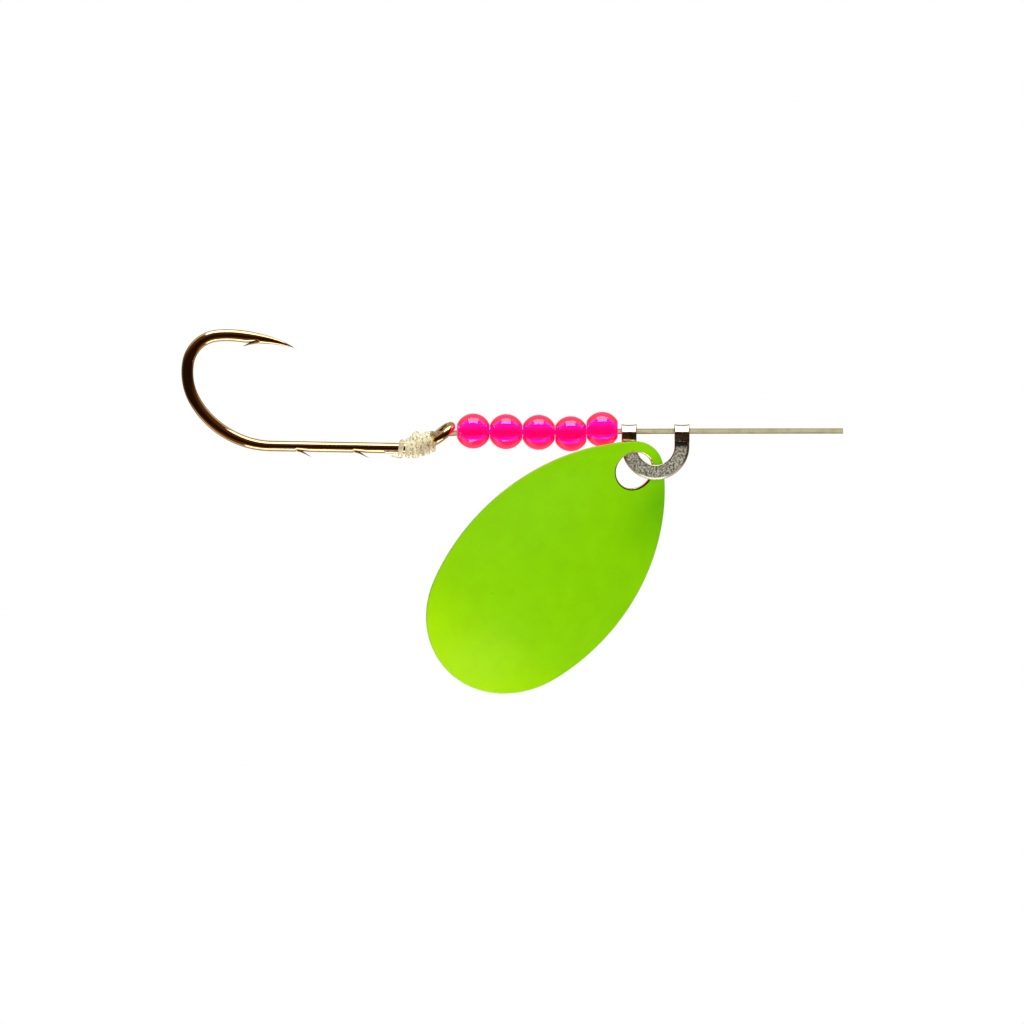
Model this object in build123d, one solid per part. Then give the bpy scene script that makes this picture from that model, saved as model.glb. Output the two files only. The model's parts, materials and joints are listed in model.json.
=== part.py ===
from build123d import *
import math
import os

# A snelled spinner rig: a gold bait-holder hook, a clear nylon leader snelled to its shank and
# led out through its eye, five beads, and a folded clevis that carries a painted blade.
#
# Millimetres. +X runs along the leader towards its cut end, +Z is up, the blade's painted side
# looks towards -Y, and the origin is the centre of the leader's cut end.

# ---- Driving dimensions ------------------------------------------------------------------------

# Leader: clear nylon monofilament
LINE_DIA = 0.60

# Hook: one plated wire in the plane y = 0
WIRE_DIA = 1.26
EYE_CENTRE_X = -45.05
EYE_CENTRE_Z = -0.30
EYE_RING_RADIUS = 1.31          # to the middle of the ring's wire
EYE_WIRE_DIA = 0.98
EYE_TURN_UP = 39.5              # degrees between the leader and the eye's plane
EYE_ROLL = 11.0                 # degrees the ring is rolled about the turned-up direction
EYE_NECK_RADIUS = 3.6           # of the gentle bend from the shank up to the eye
SHANK_SLOPE = 1.0               # degrees the shank rises towards the bend
BEND_START_X = -64.29
# Radius and turn in degrees of each arc, from the shank round to the front
BEND_ARCS = [(10.1, 58.0), (6.6, 40.0), (3.7, 76.0), (12.5, 12.0)]
FRONT_LENGTH = 1.2              # straight wire between the bend and the point
POINT_LENGTH = 4.5
POINT_DROOP = 7.0               # degrees the point dips below the front wire
POINT_MIDDLE_SHARE = 0.72       # of the wire's diameter, half way along the point
POINT_TIP_DIA = 0.10
BARB_ROOT_DIA = 0.60
BARB_TIP_DIA = 0.08
POINT_BARB_ROOT = (-65.75, 10.20)
POINT_BARB_TIP = (-67.36, 9.60)
SHANK_BARB_TIPS = [(-59.84, -2.90), (-53.40, -2.90)]
SHANK_BARB_RUN = 1.9            # how far behind its tip a bait barb leaves the shank
SHANK_BARB_DROP = 0.85

# Snell: the leader's wraps round the shank
SNELL_LEFT_X = -50.10
SNELL_STEP_X = -48.70           # left of here the wraps go round the shank alone
SNELL_RIGHT_X = -46.40
SNELL_LEFT_RADIUS = 1.15
SNELL_TOP_RADIUS = 0.80         # round the leader, where it lies on the shank
SNELL_BOTTOM_RADIUS = 1.15      # round the shank and its neck
SNELL_STEP_TOP_Z = -0.10
SNELL_STEP_BOTTOM_Z = -3.12
SNELL_RIGHT_TOP_Z = -0.06
SNELL_RIGHT_BOTTOM_Z = -2.60
TAG_LENGTH = 1.5
TAG_OFFSET_Y = -0.57            # from the shank's axis
TAG_OFFSET_Z = -0.76

# Leader's route from the snell to the cut end, in the plane y = 0, as (x, z)
LEADER_ROUTE = [
    (SNELL_RIGHT_X, -0.30),     # out of the wraps
    (-44.00, -0.30),            # through the eye
    (-42.60, -0.14),            # into the first bead
    (-16.90, 0.00),             # past the clevis
    (0.00, 0.00),               # cut end
]
ARC_SHARE = 0.45                # share of the shorter run that a corner's arc may take

# Beads, from the hook to the clevis
BEAD_DIA = 3.98
BEAD_BORE_DIA = 1.20
BEAD_START_X = -43.37
BEAD_GAP = 0.03
BEAD_LENGTHS = [3.66, 3.66, 3.62, 3.50, 3.50]
BEAD_HEIGHTS = [0.00, -0.07, -0.15, -0.31, 0.18]        # each bore's axis above the origin

# Clevis: flat strip, a half ring with two legs whose ends are rolled over the leader
CLEVIS_X = -21.07
CLEVIS_LINE_Z = -0.02
CLEVIS_DROP = 1.67              # half ring's centre below the leader
CLEVIS_OUTER_RADIUS = 3.82
CLEVIS_INNER_RADIUS = 2.13
CLEVIS_THICKNESS = 0.40
CLEVIS_EDGE_RADIUS = 0.12
EAR_OUTER_RADIUS = 0.76
EAR_INNER_RADIUS = 0.40
EAR_TAIL_DROP = 1.40            # how far the folded tail reaches below the leader
EAR_TAIL_THICKNESS = 0.30       # the tail is pressed thinner than the strip
EAR_TAIL_LAND = 0.10            # height of the tail's flat end against the leg
EAR_SLIT_FOOT = 0.35            # how far above the tail's end the roll's inside closes
EAR_SLIT_WIDTH = 0.02

# Blade: Indiana shape, two end circles on its long axis joined by two side arcs
BLADE_LENGTH = 34.26
BLADE_TIP_RADIUS = 3.79
BLADE_SIDE_RADIUS = 23.67
BLADE_TAIL_RADIUS = 10.60
BLADE_THICKNESS = 0.40
BLADE_HOLE_DIA = 4.30
BLADE_HOLE_INSET = 3.38         # hole's centre from the tip end
BLADE_TIP = (-21.31, -0.15, -1.85)      # tip end, half way through the plate
BLADE_TRAIL = 41.0              # degrees the long axis trails from straight down
BLADE_PITCH = 4.2               # degrees the tail hangs behind the tip
BLADE_TWIST = 28.0              # degrees the blade is turned about its long axis
CUP_CENTRE = 19.4               # from the tip end
CUP_HALF_LENGTH = 13.7
CUP_HALF_WIDTH = 10.2
CUP_RISE = 2.2
CUP_FLATTEN = 5.5               # the cup's ellipsoid's half height

PARTS = "parts"


def save(node, shape):
    """Write one named sub-part."""
    export_step(shape, os.path.join(PARTS, node + ".step"))


def upright(x, z):
    """A point of the plane y = 0."""
    return Vector(x, 0, z)


# ---- Hook --------------------------------------------------------------------------------------

def turn_up_direction():
    """Unit direction in the eye's plane, up and towards the cut end."""
    angle = math.radians(EYE_TURN_UP)
    return Vector(math.cos(angle), 0, math.sin(angle))


def neck_point():
    """Centre of the ring's wire where the shank joins it."""
    return upright(EYE_CENTRE_X, EYE_CENTRE_Z) - turn_up_direction() * EYE_RING_RADIUS


def shank_height(x):
    """z of the shank's axis at x: the neck's arc ends on it."""
    turn_up, slope = math.radians(EYE_TURN_UP), math.radians(SHANK_SLOPE)
    start_x = neck_point().X - EYE_NECK_RADIUS * (math.sin(turn_up) + math.sin(slope))
    start_z = neck_point().Z - EYE_NECK_RADIUS * (math.cos(slope) - math.cos(turn_up))
    return start_z + (start_x - x) * math.tan(slope)


def spike(root, tip):
    """A barb: a slim cone from inside the wire to its tip."""
    along = tip - root
    return Solid.make_cone(
        BARB_ROOT_DIA / 2, BARB_TIP_DIA / 2, along.length, Plane(origin=root, z_dir=along)
    )


def hook_path():
    """The wire's axis in the hook's plane, from the eye to the start of the point."""
    neck = neck_point()
    angle = math.radians(EYE_TURN_UP)
    towards_shank = (-math.cos(angle), -math.sin(angle))
    neck_turn = EYE_TURN_UP + SHANK_SLOPE
    pieces = [JernArc((neck.X, neck.Z), towards_shank, EYE_NECK_RADIUS, -neck_turn)]
    pieces.append(Line(pieces[-1] @ 1, (BEND_START_X, shank_height(BEND_START_X))))
    for radius, turn in BEND_ARCS:
        pieces.append(JernArc(pieces[-1] @ 1, pieces[-1] % 1, radius, -turn))
    pieces.append(Line(pieces[-1] @ 1, pieces[-1] @ 1 + (pieces[-1] % 1) * FRONT_LENGTH))
    return Plane.XZ * Wire(pieces)


def hook_point(path):
    """The tapered point, dipping a little below the front wire."""
    start = path @ 1
    heading = path % 1
    dip = heading.rotate(Axis.Y, POINT_DROOP)
    middle = start + heading.rotate(Axis.Y, POINT_DROOP / 2) * (POINT_LENGTH / 2)
    tip = start + dip * POINT_LENGTH
    sections = [
        Plane(origin=start, z_dir=heading) * Circle(WIRE_DIA / 2),
        Plane(origin=middle, z_dir=dip) * Circle(WIRE_DIA * POINT_MIDDLE_SHARE / 2),
        Plane(origin=tip, z_dir=dip) * Circle(POINT_TIP_DIA / 2),
    ]
    return loft(sections)


def make_hook():
    path = hook_path()
    wire = sweep(Plane(origin=path @ 0, z_dir=path % 0) * Circle(WIRE_DIA / 2), path=path)
    along = turn_up_direction()
    sideways = Vector(0, 1, 0).rotate(Axis((0, 0, 0), along), EYE_ROLL)
    ring_plane = Plane(
        origin=upright(EYE_CENTRE_X, EYE_CENTRE_Z), x_dir=along, z_dir=along.cross(sideways)
    )
    ring = ring_plane * Torus(EYE_RING_RADIUS, EYE_WIRE_DIA / 2)
    hook = wire + ring + hook_point(path) + spike(upright(*POINT_BARB_ROOT), upright(*POINT_BARB_TIP))
    for x, z in SHANK_BARB_TIPS:
        tip = upright(x, z)
        hook += spike(tip + Vector(-SHANK_BARB_RUN, 0, SHANK_BARB_DROP), tip)
    return hook


# ---- Snell and tag -----------------------------------------------------------------------------

def along_x(x, z, y=0.0):
    """A plane whose normal runs along +X."""
    return Plane(origin=(x, y, z), x_dir=(0, 1, 0), z_dir=(1, 0, 0))


def snell_section(x, top, bottom):
    """The wraps' outline at x: round the leader above and round the shank below."""
    above = Pos(0, top - SNELL_TOP_RADIUS) * Circle(SNELL_TOP_RADIUS)
    below = Pos(0, bottom + SNELL_BOTTOM_RADIUS) * Circle(SNELL_BOTTOM_RADIUS)
    return along_x(x, 0) * make_hull(above.edges() + below.edges())


def make_snell(hook):
    """The wraps' outer shape, with the hook's own shape taken out of it."""
    left_section = along_x(SNELL_LEFT_X, shank_height(SNELL_LEFT_X)) * Circle(SNELL_LEFT_RADIUS)
    left = extrude(left_section, SNELL_STEP_X - SNELL_LEFT_X)
    right = loft([
        snell_section(SNELL_STEP_X, SNELL_STEP_TOP_Z, SNELL_STEP_BOTTOM_Z),
        snell_section(SNELL_RIGHT_X, SNELL_RIGHT_TOP_Z, SNELL_RIGHT_BOTTOM_Z),
    ])
    return left + right - hook


def make_tag():
    """The leader's short cut tag, lying along the shank behind the wraps."""
    start = along_x(SNELL_LEFT_X, shank_height(SNELL_LEFT_X) + TAG_OFFSET_Z, TAG_OFFSET_Y)
    return extrude(start * Circle(LINE_DIA / 2), -TAG_LENGTH)


# ---- Leader ------------------------------------------------------------------------------------

def make_leader():
    """Straight runs joined by tangent arcs, as large as the runs allow."""
    points = [upright(x, z) for x, z in LEADER_ROUTE]
    runs = [b - a for a, b in zip(points, points[1:])]
    radii = []
    for before, after in zip(runs, runs[1:]):
        turn = math.radians(before.get_angle(after))
        radii.append(ARC_SHARE * min(before.length, after.length) / math.tan(turn / 2))
    path = FilletPolyline(*points, radius=radii)
    tube = sweep(Plane(origin=path @ 0, z_dir=path % 0) * Circle(LINE_DIA / 2), path=path)
    section = math.pi * LINE_DIA ** 2 / 4
    print("leader radii", [round(radius, 2) for radius in radii])
    print("leader length", round(path.length, 2), "volume", round(tube.volume, 3),
          "section x length", round(section * path.length, 3))
    return tube


# ---- Beads -------------------------------------------------------------------------------------

def make_bead(length, start_x, height):
    """A ball with flat ends round its bore."""
    ball = Sphere(BEAD_DIA / 2) & Cylinder(BEAD_DIA, length)
    bored = ball - Cylinder(BEAD_BORE_DIA / 2, 2 * length)
    return along_x(start_x + length / 2, height) * bored


# ---- Clevis ------------------------------------------------------------------------------------

def make_clevis():
    bow_z = CLEVIS_LINE_Z - CLEVIS_DROP
    leg_width = CLEVIS_OUTER_RADIUS - CLEVIS_INNER_RADIUS
    leg_middle = (CLEVIS_OUTER_RADIUS + CLEVIS_INNER_RADIUS) / 2
    leg_top = CLEVIS_DROP - EAR_TAIL_DROP
    half = CLEVIS_THICKNESS / 2

    ring = Circle(CLEVIS_OUTER_RADIUS) - Circle(CLEVIS_INNER_RADIUS)
    lower_half = Pos(0, -CLEVIS_OUTER_RADIUS) * Rectangle(3 * CLEVIS_OUTER_RADIUS, 2 * CLEVIS_OUTER_RADIUS)
    strip = ring & lower_half
    for side in (-1, 1):
        strip += Pos(side * leg_middle, leg_top / 2) * Rectangle(leg_width, leg_top)
    flat = Plane(origin=(CLEVIS_X, 0, bow_z), x_dir=(1, 0, 0), z_dir=(0, -1, 0))
    clevis = extrude(flat * strip, half, both=True)
    clevis = fillet(clevis.edges().filter_by(GeomType.CIRCLE), CLEVIS_EDGE_RADIUS)

    tail = Polyline(
        (-half - EAR_TAIL_THICKNESS, -EAR_TAIL_DROP),
        (half, -EAR_TAIL_DROP),
        (half, -EAR_TAIL_DROP + EAR_TAIL_LAND),
    )
    outer = make_hull(Circle(EAR_OUTER_RADIUS).edges() + tail.edges())
    slit_z = -EAR_TAIL_DROP + EAR_SLIT_FOOT
    slit = Line((-half, slit_z), (-half + EAR_SLIT_WIDTH, slit_z))
    inner = make_hull(Circle(EAR_INNER_RADIUS).edges() + slit.edges())
    for side in (-1, 1):
        ear_start = along_x(CLEVIS_X + side * leg_middle - leg_width / 2, CLEVIS_LINE_Z)
        clevis += extrude(ear_start * (outer - inner), leg_width)
    return clevis


# ---- Blade -------------------------------------------------------------------------------------

def blade_outline():
    """The blade's outline, tip end at the local origin and long axis along local x."""
    tip_centre = Vector(BLADE_TIP_RADIUS, 0)
    tail_centre = Vector(BLADE_LENGTH - BLADE_TAIL_RADIUS, 0)
    to_tip = BLADE_SIDE_RADIUS - BLADE_TIP_RADIUS
    to_tail = BLADE_SIDE_RADIUS - BLADE_TAIL_RADIUS
    spacing = tail_centre.X - tip_centre.X
    along = (spacing ** 2 + to_tip ** 2 - to_tail ** 2) / (2 * spacing)
    side_centre = tip_centre + Vector(along, -math.sqrt(to_tip ** 2 - along ** 2))
    tip_join = tip_centre + (tip_centre - side_centre).normalized() * BLADE_TIP_RADIUS
    tail_join = tail_centre + (tail_centre - side_centre).normalized() * BLADE_TAIL_RADIUS
    side_middle = side_centre + Vector(0, BLADE_SIDE_RADIUS)
    side = ThreePointArc(tip_join, side_middle, tail_join)
    other_side = mirror(side, Plane.XZ)
    tip = ThreePointArc(tip_join, (0, 0), (tip_join.X, -tip_join.Y))
    tail = ThreePointArc(tail_join, (BLADE_LENGTH, 0), (tail_join.X, -tail_join.Y))
    return make_face(Curve() + [side, tail, other_side, tip])


def blade_plane():
    """Where the blade hangs: x down its long axis, z out of its painted side."""
    trail, pitch, twist = (math.radians(a) for a in (BLADE_TRAIL, BLADE_PITCH, BLADE_TWIST))
    back = Vector(0, 1, 0)
    flat_axis = Vector(-math.sin(trail), 0, -math.cos(trail))
    across = Vector(math.cos(trail), 0, -math.sin(trail))
    axis = flat_axis * math.cos(pitch) + back * math.sin(pitch)
    facing = flat_axis * math.sin(pitch) - back * math.cos(pitch)
    normal = facing * math.cos(twist) + across * math.sin(twist)
    return Plane(origin=Vector(*BLADE_TIP), x_dir=axis, z_dir=normal)


def make_blade():
    """A flat rimmed plate with one shallow cup pressed out towards its painted side."""
    half = BLADE_THICKNESS / 2
    plate = extrude(blade_outline(), half, both=True)
    plate -= Pos(BLADE_HOLE_INSET, 0) * Cylinder(BLADE_HOLE_DIA / 2, 4 * BLADE_THICKNESS)
    sink = CUP_FLATTEN - CUP_RISE
    spread = 1 / math.sqrt(1 - (sink / CUP_FLATTEN) ** 2)
    ellipsoid = scale(
        Sphere(1), by=(CUP_HALF_LENGTH * spread, CUP_HALF_WIDTH * spread, CUP_FLATTEN)
    )
    above = Box(
        4 * BLADE_LENGTH, BLADE_LENGTH, BLADE_LENGTH,
        align=(Align.CENTER, Align.CENTER, Align.MIN),
    )
    outside = (Pos(CUP_CENTRE, 0, half - sink) * ellipsoid) & above
    inside = Pos(CUP_CENTRE, 0, -half - sink) * ellipsoid
    return blade_plane() * (plate + outside - inside)


# ---- Write the sub-parts -----------------------------------------------------------------------

os.makedirs(PARTS, exist_ok=True)
hook = make_hook()
save("hook", hook)
save("snell_wraps", make_snell(hook))
save("tag_end", make_tag())
save("leader_line", make_leader())
bead_x = BEAD_START_X
for number, (bead_length, bead_height) in enumerate(zip(BEAD_LENGTHS, BEAD_HEIGHTS), 1):
    save(f"bead_{number}", make_bead(bead_length, bead_x, bead_height))
    bead_x += bead_length + BEAD_GAP
save("clevis", make_clevis())
save("blade", make_blade())
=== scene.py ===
import json
import math
import random

import bpy
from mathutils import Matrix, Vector


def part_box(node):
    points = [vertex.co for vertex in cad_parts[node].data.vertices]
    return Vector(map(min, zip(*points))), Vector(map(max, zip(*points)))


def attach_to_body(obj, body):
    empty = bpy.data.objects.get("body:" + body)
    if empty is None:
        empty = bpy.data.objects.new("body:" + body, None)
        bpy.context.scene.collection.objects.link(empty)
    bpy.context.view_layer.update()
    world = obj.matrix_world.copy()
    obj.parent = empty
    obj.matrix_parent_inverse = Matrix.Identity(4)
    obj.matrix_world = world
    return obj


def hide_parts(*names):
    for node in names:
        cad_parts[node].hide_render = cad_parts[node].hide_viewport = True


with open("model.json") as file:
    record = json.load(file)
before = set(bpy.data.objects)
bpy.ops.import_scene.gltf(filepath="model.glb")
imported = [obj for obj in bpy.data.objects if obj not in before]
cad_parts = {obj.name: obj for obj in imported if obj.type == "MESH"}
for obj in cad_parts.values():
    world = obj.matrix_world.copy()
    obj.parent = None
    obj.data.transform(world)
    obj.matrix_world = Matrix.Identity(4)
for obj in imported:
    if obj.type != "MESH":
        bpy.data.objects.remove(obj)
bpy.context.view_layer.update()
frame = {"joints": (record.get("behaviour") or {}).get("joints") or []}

# A snelled spinner rig. Everything is in metres, in the CAD model's frame: +X along the leader
# towards its cut end, +Z up, and the blade's painted side towards -Y.

MM = 0.001
BACK = Vector((0, 1, 0))

# Leader: the CAD route's points, as (x, z)
LEADER_ROUTE = [
    (-0.04640, -0.00030),
    (-0.04400, -0.00030),
    (-0.04260, -0.00014),
    (-0.01690, 0.0),
    (0.0, 0.0),
]
LINE_RADIUS = 0.30 * MM

# Snell: each turn's (x, z) in mm at its top and at its foot, from the sleeve box's lower left corner
WRAP_RADIUS = 0.29 * MM
WRAP_SIDE_SWELL = (0.97, 1.08)      # range of the random factor on a half turn's reach sideways
WRAPS = [
    ((0.55, 1.92), (0.30, 0.27)),
    ((1.24, 2.04), (1.18, 0.33)),
    ((1.64, 2.32), (1.92, 0.32)),
    ((1.90, 2.66), (2.26, 0.36)),
    ((2.20, 2.84), (2.90, 0.58)),
    ((2.74, 2.58), (3.48, 0.76)),
    ((3.34, 2.80), (4.06, 1.02)),
]

# Tag
TAG_SLANT = 0.95 * MM               # of the cut end, along the line
TAG_OVERLAP = 0.25 * MM             # runs on under the last turn
TAG_LIFT = 0.10 * MM                # of the cut end

# Hook: arcs are (radius, turn in degrees) and runs are (length, turn in degrees)
CAD_WIRE_RADIUS = 0.63 * MM
EYE_RING_RADIUS = 1.31 * MM
EYE_WIRE_RADIUS = 0.49 * MM
EYE_TURN_UP = 39.5                  # degrees between the leader and the eye's plane
EYE_ROLL = 11.0                     # degrees about the turned-up direction
NECK_RADIUS = 3.6 * MM
SHANK_SLOPE = 1.0                   # degrees
BEND_ARCS = [(10.1 * MM, 58.0), (6.6 * MM, 40.0), (3.7 * MM, 76.0), (12.5 * MM, 12.0)]
FRONT_LENGTH = 0.6 * MM
POINT_RUNS = [(2.5 * MM, -3.0), (3.05 * MM, -14.0)]
POINT_LENGTH = 5.55 * MM
SHANK_RADIUS = 0.595 * MM
BEND_OUTER_DEPTH = 0.63 * MM        # forged: deeper in the hook's plane, most on the inside
BEND_INNER_DEPTH = 0.71 * MM
BEND_HALF_WIDTH = 0.52 * MM
POINT_TIP_RADIUS = 0.03 * MM
BAIT_BARB_PLACES = (-61.50 * MM, -55.05 * MM)      # x where the slivers lift off the shank
POINT_BARB_INSET = 1.55 * MM        # from where the point starts to taper
BARB_LENGTH = 1.75 * MM
BARB_CUT_DEPTH = 0.15 * MM
BAIT_BARB_CUT = 1.55 * MM
POINT_BARB_CUT = 1.50 * MM
BARB_ROOT_REACH = 0.34              # mm from the wire's axis
BAIT_BARB_SIZE = (1.12, 0.17)       # mm: its tip's reach from the wire's axis, and its thickness
POINT_BARB_SIZE = (1.16, 0.26)

# Beads
BORE_RADIUS = 0.60 * MM
BORE_LIP = 0.07 * MM                # rounding at the ends of the bore

# Clevis
BOW_RADIUS = 2.975 * MM             # to the middle of the strip
STRIP_WIDTH = 1.69 * MM
STRIP_THICKNESS = 0.40 * MM
STRIP_CORNER = 0.13 * MM
STRIP_BEVEL = 0.30 * MM             # polished, along the inner side's outer edge
STRIP_COLUMNS = 9
BEVEL_ROWS = 5
BOW_STEPS = 64
EAR_CROWN = 0.55 * MM               # height of the roll's top, where the strip spreads
CROWN_SPREAD = 0.035                # share of the width that it gains there
CROWN_FLARE = 0.10 * MM             # how far its edges stand off there
TAIL_NICKS = (-0.16, 0.05)          # mm that the torn tail ends fall short or run on
# The ear's mid line from the bow up, as (length, turn in degrees, thickness at its end): leg, kink
# to the back, rise, roll over the leader, slanting flat in front, bend, tail
EAR_MOVES = [
    (0.46 * MM, 0.0, 0.40 * MM),
    (0.37 * MM, -30.0, 0.38 * MM),
    (0.71 * MM, 0.0, 0.36 * MM),
    (1.57 * MM, 173.0, 0.34 * MM),
    (0.54 * MM, 0.0, 0.32 * MM),
    (0.22 * MM, 48.0, 0.30 * MM),
    (0.86 * MM, 0.0, 0.28 * MM),
]

# Blade
BLADE_LENGTH = 34.26 * MM
BLADE_TIP_RADIUS = 3.79 * MM
BLADE_SIDE_RADIUS = 23.67 * MM
BLADE_TAIL_RADIUS = 10.60 * MM
BLADE_THICKNESS = 0.40 * MM
BLADE_HOLE_RADIUS = 2.15 * MM
BLADE_HOLE_INSET = 3.38 * MM
BLADE_TIP_OFFSET = Vector((-0.24, -0.15, -0.16)) * MM      # from the clevis' bow centre
BLADE_TRAIL = 41.0                  # degrees from straight down towards the hook
BLADE_PITCH = 4.2                   # degrees that its tail leans back
BLADE_TWIST = 28.0                  # degrees about its long axis
CUP_RISE = 2.15 * MM
CUP_CENTRE = 19.4 * MM
CUP_TO_TIP = 13.9 * MM
CUP_TO_TAIL = 14.5 * MM
CUP_HALF_WIDTH = 10.9 * MM
CUP_SOFTNESS = 0.16                 # how gently the cup runs out into the rim

# Camera
CAMERA_DISTANCE = 1.0
VIEW_WIDTH = 115.06 * MM
VIEW_OFFSET = (-16.12 * MM, -7.41 * MM)            # x and z of its middle from the bow's centre

BOW_CENTRE = next(joint["pos_m"] for joint in frame["joints"] if joint["name"] == "blade_swing")


# ---- Meshes ------------------------------------------------------------------------------------

def add_mesh(name, vertices, faces, materials=(), indices=None, sharp=40.0):
    """A smooth-shaded mesh object, creased where its faces turn by more than sharp degrees."""
    mesh = bpy.data.meshes.new(name)
    mesh.from_pydata([tuple(v) for v in vertices], [], faces)
    for each in materials:
        mesh.materials.append(each)
    if indices:
        mesh.polygons.foreach_set("material_index", indices)
    mesh.validate()
    mesh.shade_smooth()
    mesh.set_sharp_from_angle(angle=math.radians(sharp))
    piece = bpy.data.objects.new(name, mesh)
    bpy.context.scene.collection.objects.link(piece)
    return piece


def bridge(rings, closed):
    """Quads between rings of equal length, with end caps unless the rings close on themselves."""
    count = len(rings[0])
    last = len(rings) if closed else len(rings) - 1
    faces = []
    for i in range(last):
        here, there = i * count, (i + 1) % len(rings) * count
        for j in range(count):
            k = (j + 1) % count
            faces.append((here + j, here + k, there + k, there + j))
    if not closed:
        faces.append(tuple(reversed(range(count))))
        faces.append(tuple(range(last * count, (last + 1) * count)))
    return faces


def skin(name, rings, material, closed=False, sharp=40.0):
    """A tube through rings of points."""
    vertices = [v for ring in rings for v in ring]
    return add_mesh(name, vertices, bridge(rings, closed), [material], sharp=sharp)


def walk(start, heading, moves, step):
    """Stations (x, z, heading) along runs and arcs; a move is (length, turn in degrees)."""
    x, z = start
    stations = [(x, z, heading)]
    for length, turn in moves:
        count = max(2, math.ceil(length / step))
        for _ in range(count):
            middle = math.radians(heading + turn / count / 2)
            x += length / count * math.cos(middle)
            z += length / count * math.sin(middle)
            heading += turn / count
            stations.append((x, z, heading))
    return stations


def ease(value, low, high):
    """0 below low, 1 above high, and a smooth step between."""
    t = min(1.0, max(0.0, (value - low) / (high - low)))
    return t * t * (3 - 2 * t)


def union(piece, parts):
    """Joins overlapping closed meshes into one skin."""
    for part in parts:
        cut = piece.modifiers.new("union", "BOOLEAN")
        cut.operation = "UNION"
        cut.solver = "EXACT"
        cut.object = part
    graph = bpy.context.evaluated_depsgraph_get()
    mesh = bpy.data.meshes.new_from_object(piece.evaluated_get(graph))
    piece.modifiers.clear()
    piece.data = mesh
    for part in parts:
        bpy.data.objects.remove(part)
    mesh.shade_smooth()
    mesh.set_sharp_from_angle(angle=math.radians(32))
    return piece


# ---- Materials ---------------------------------------------------------------------------------

class Shader:
    """A Principled material with helpers for procedural detail in object space."""

    def __init__(self, name, **sockets):
        self.material = bpy.data.materials.new(name)
        self.material.use_nodes = True
        self.nodes = self.material.node_tree.nodes
        self.links = self.material.node_tree.links
        self.surface = self.nodes["Principled BSDF"]
        for socket, value in sockets.items():
            self.surface.inputs[socket.replace("_", " ")].default_value = value
        self.place = self.nodes.new("ShaderNodeTexCoord").outputs["Object"]

    def stretched(self, scale):
        """Object coordinates scaled by axis."""
        mapping = self.nodes.new("ShaderNodeMapping")
        mapping.inputs["Scale"].default_value = scale
        self.links.new(self.place, mapping.inputs["Vector"])
        return mapping.outputs["Vector"]

    def noise(self, size, detail=3.0, roughness=0.55, stretch=None):
        """Noise whose features are about size across, in metres."""
        node = self.nodes.new("ShaderNodeTexNoise")
        node.inputs["Scale"].default_value = 1 / size
        node.inputs["Detail"].default_value = detail
        node.inputs["Roughness"].default_value = roughness
        self.links.new(self.stretched(stretch) if stretch else self.place, node.inputs["Vector"])
        return node.outputs["Fac"]

    def cells(self, size):
        """Distance to scattered points, about size apart, in cell widths."""
        node = self.nodes.new("ShaderNodeTexVoronoi")
        node.inputs["Scale"].default_value = 1 / size
        self.links.new(self.place, node.inputs["Vector"])
        return node.outputs["Distance"]

    def ramp(self, factor, *stops):
        """Colours or greys by factor; each stop is (position, colour)."""
        node = self.nodes.new("ShaderNodeValToRGB")
        elements = node.color_ramp.elements
        while len(elements) < len(stops):
            elements.new(0.5)
        for element, (position, colour) in zip(elements, stops):
            element.position = position
            element.color = (*colour, 1)
        self.links.new(factor, node.inputs["Fac"])
        return node.outputs["Color"]

    def along(self, axis, origin, length):
        """How far along an axis from the origin, as a share of length."""
        node = self.nodes.new("ShaderNodeVectorMath")
        node.operation = "DOT_PRODUCT"
        node.inputs[1].default_value = axis / length
        self.links.new(self.place, node.inputs[0])
        shift = self.nodes.new("ShaderNodeMath")
        shift.inputs[1].default_value = -origin.dot(axis) / length
        self.links.new(node.outputs["Value"], shift.inputs[0])
        return shift.outputs[0]

    def mix(self, factor, first, second, blend="MIX"):
        """Blends two colours, each a socket or a plain colour."""
        node = self.nodes.new("ShaderNodeMix")
        node.data_type = "RGBA"
        node.blend_type = blend
        if isinstance(factor, float):
            node.inputs["Factor"].default_value = factor
        else:
            self.links.new(factor, node.inputs["Factor"])
        for socket, value in ((node.inputs[6], first), (node.inputs[7], second)):
            if isinstance(value, tuple):
                socket.default_value = (*value, 1)
            else:
                self.links.new(value, socket)
        return node.outputs[2]

    def bump(self, height, depth, strength):
        """Adds relief of about depth metres."""
        node = self.nodes.new("ShaderNodeBump")
        node.inputs["Strength"].default_value = strength
        node.inputs["Distance"].default_value = depth
        self.links.new(height, node.inputs["Height"])
        return node.outputs["Normal"]

    def set(self, socket, value):
        """Feeds a socket of the surface."""
        self.links.new(value, self.surface.inputs[socket])


def grey(value):
    """A neutral colour."""
    return (value, value, value)


def gold_material():
    """Thin gold plating over steel wire: mirror bright, a little browner in drifts."""
    shader = Shader("gold_plating", Metallic=1.0)
    drift = shader.noise(1.6 * MM, detail=4)
    shader.set("Base Color", shader.ramp(drift, (0.35, (0.82, 0.55, 0.26)), (0.7, (0.93, 0.71, 0.42))))
    shader.set("Roughness", shader.ramp(shader.noise(0.5 * MM), (0.3, grey(0.05)), (0.75, grey(0.12))))
    drawn = shader.noise(0.12 * MM, stretch=(0.15, 1, 1))
    shader.set("Normal", shader.bump(drawn, 0.002 * MM, 0.35))
    return shader.material


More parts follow.
